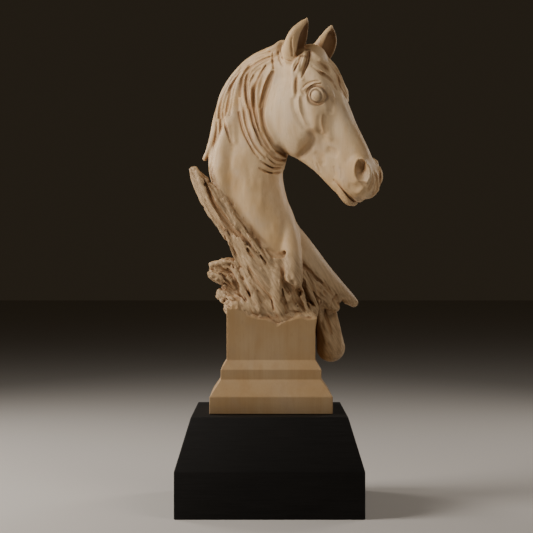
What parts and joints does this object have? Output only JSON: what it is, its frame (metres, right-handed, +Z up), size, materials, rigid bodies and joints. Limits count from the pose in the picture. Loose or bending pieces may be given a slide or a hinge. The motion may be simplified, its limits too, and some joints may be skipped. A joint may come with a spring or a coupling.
{
  "type": "wooden horse head sculpture",
  "caption": "Carved wooden horse head and neck rising from eroded wood on a stepped pedestal, on a dark sloping plinth.",
  "frame": {"origin": "centre of the plinth's underside, on the surface it stands on", "axes": "+Z up; the horse's nose points to +X and 33 degrees towards -Y, which is the front"},
  "size_m": [0.1526, 0.128, 0.367],
  "materials": {
    "pale_wood": "satin, hand carved, pale with brown in the hollows",
    "dark_wood": "matt, stained near black, fine open grain"
  },
  "bodies": {
    "root": {"horse_head_carving": "pale_wood", "dark_plinth": "dark_wood"}
  },
  "joints": []
}
